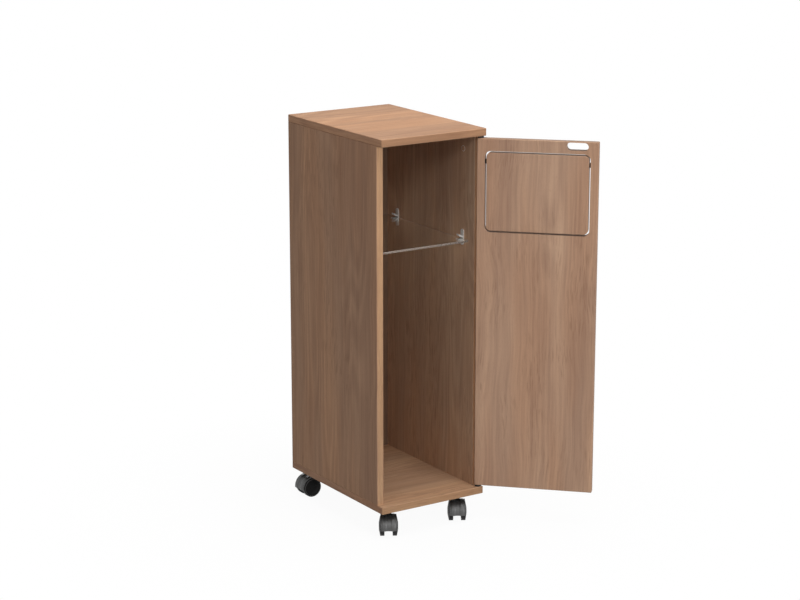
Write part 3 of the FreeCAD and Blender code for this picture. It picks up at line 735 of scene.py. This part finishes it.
def make_plate_screws(material):
    """Four screws up through each caster plate, head down."""
    head_down = Matrix.Rotation(math.pi, 4, "X")
    for corner in CORNERS:
        low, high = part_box(f"caster_plate_{corner}")
        middle = (low + high) / 2
        mesh = bmesh.new()
        for x in (-PLATE_HOLE_REACH, PLATE_HOLE_REACH):
            for y in (-PLATE_HOLE_REACH, PLATE_HOLE_REACH):
                under = Vector((middle.x + x, middle.y + y, high.z - PLATE_THICKNESS))
                add_screw(mesh, Matrix.Translation(under) @ head_down)
        finished_piece(mesh, f"plate_screws_{corner}", material, "cabinet")


CAM_RADIUS = 0.006
CAP_STEPS = 48
CAP_PROFILE = ((0.0050, 0), (0.0050, 0.0003), (0.0048, 0.0005), (0.0043, 0.0006), (0.0015, 0.00065))


def make_cam_caps(material):
    """Thin press-in covers on the cam locks, a little smaller than the cams, so that a bright ring shows."""
    low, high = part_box("cam_locks")
    walls = ((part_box("left_side_panel")[1].x, 1), (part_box("right_side_panel")[0].x, -1))
    mesh = bmesh.new()
    for wall, inward in walls:
        for y in (low.y + CAM_RADIUS, high.y - CAM_RADIUS):
            centre = Vector((wall, y, (low.z + high.z) / 2))
            turn = Matrix.Rotation(math.pi / 2 * inward, 4, "Y")
            rings = lathe(mesh, CAP_PROFILE, CAP_STEPS, Matrix.Translation(centre) @ turn)
            mesh.faces.new(list(reversed(rings[0])))
            mesh.faces.new(rings[-1])
    finished_piece(mesh, "cam_caps", material, "cabinet")


# Camera, at the photograph's own eye point, with turns in radians

IMAGE_WIDTH = 800
FOCAL_PIXELS = 2209.1
SENSOR_WIDTH = 36
CAMERA_PLACE = (-2.3311, -3.6381, 1.5384)
CAMERA_TURN = -0.5765
CAMERA_DIP = 0.2494


def make_camera():
    data = bpy.data.cameras.new("camera")
    data.sensor_fit = "HORIZONTAL"
    data.sensor_width = SENSOR_WIDTH
    data.lens = SENSOR_WIDTH * FOCAL_PIXELS / IMAGE_WIDTH
    camera = bpy.data.objects.new("camera", data)
    camera.location = CAMERA_PLACE
    camera.rotation_euler = (math.pi / 2 - CAMERA_DIP, 0, CAMERA_TURN)
    scene.collection.objects.link(camera)
    scene.camera = camera


# Studio, with each lamp's place, size across and power

LAMP_AIM = Vector((0, 0, 0.4))
LAMPS = {
    "overhead": ((0.0, -0.2, 3.4), 2.2, 55.0),
    "front_top": ((0.1, -1.6, 3.4), 1.6, 21.3),
    "front_low": ((0.4, -4.0, 1.0), 2.4, 70.0),
    "front_left": ((-2.2, -3.5, 2.6), 1.0, 26.6),
    "left": ((-4.0, -1.3, 1.4), 2.4, 11.6),
    "back": ((1.2, 3.8, 0.5), 0.9, 40.0),
}
WHITE = grey(1)
AMBIENT = grey(0.20)

# The floor glows by itself, a little less near the object, so that its shadow shows faintly
FLOOR_SPAN = 40
FLOOR_CELLS = 4
FLOOR_LIGHT = grey(0.94)
FLOOR_DARK = grey(0.90)
FLOOR_MOTTLE = 3
FLOOR_ROUGHNESS = 0.9
FLOOR_BOUNCE = grey(0.3)
FLOOR_GLOW = (0.95, 1)
SHADOW_REACH = (0.25, 0.75)


def make_lamps():
    for name, (location, size, power) in LAMPS.items():
        data = bpy.data.lights.new(name, "AREA")
        data.shape = "DISK"
        data.size = size
        data.energy = power
        lamp = bpy.data.objects.new(name, data)
        lamp.location = location
        lamp.rotation_euler = (LAMP_AIM - lamp.location).to_track_quat("-Z", "Y").to_euler()
        scene.collection.objects.link(lamp)


def shown_share(tree):
    """1 for rays that show the surroundings: seen, mirrored or through glass."""
    path = add_node(tree, "ShaderNodeLightPath").outputs
    mirrored = calculate(tree, "MAXIMUM", path["Is Glossy Ray"], path["Is Transmission Ray"])
    return calculate(tree, "MAXIMUM", path["Is Camera Ray"], mirrored)


def make_world():
    """White where it is seen, and a soft even light on the object."""
    world = bpy.data.worlds.new("studio")
    scene.world = world
    world.use_nodes = True
    tree = world.node_tree
    light = tree.nodes["Background"]
    feed(tree, light.inputs["Color"], mix_colour(tree, shown_share(tree), AMBIENT, WHITE))


def floor_material():
    """White to the camera with a faint shadow near the object, and only a little light thrown back up."""
    material, tree, shader = new_material("floor_white")
    mottle = noise(tree, object_place(tree), FLOOR_MOTTLE)
    feed_all(tree, shader, {
        "Base Color": mix_colour(tree, mottle, FLOOR_DARK, FLOOR_LIGHT),
        "Roughness": FLOOR_ROUGHNESS,
        "Specular IOR Level": 0,
    })
    glow = add_node(tree, "ShaderNodeEmission")
    dull = add_node(tree, "ShaderNodeBsdfDiffuse")
    feed(tree, dull.inputs["Color"], FLOOR_BOUNCE)
    reach = calculate_vector(tree, "LENGTH", object_place(tree))
    glow_share = spread(tree, reach, SHADOW_REACH, FLOOR_GLOW)
    seen = mix_shaders(tree, glow_share, shader.outputs["BSDF"], glow.outputs["Emission"])
    show(tree, mix_shaders(tree, shown_share(tree), dull.outputs["BSDF"], seen))
    return material


def make_floor():
    mesh = bmesh.new()
    bmesh.ops.create_grid(mesh, x_segments=FLOOR_CELLS, y_segments=FLOOR_CELLS, size=FLOOR_SPAN / 2)
    data = bpy.data.meshes.new("floor")
    mesh.to_mesh(data)
    mesh.free()
    data.materials.append(floor_material())
    floor = bpy.data.objects.new("floor", data)
    scene.collection.objects.link(floor)


finish_boards()
finish_fittings()
finish_casters()
make_plate_screws(metal("screw_steel", SCREW_LIGHT, SCREW_DARK, roughness=(0.2, 0.34)))
# The caps take the right panel's painted cooler light on their inner faces
make_cam_caps(laminate("laminate_cap", Z, X, RIGHT_SHIFT, inner=RIGHT_INNER_PAINTED_COOL_LIGHT))
make_camera()
make_lamps()
make_world()
make_floor()
scene.view_settings.view_transform = "Standard"
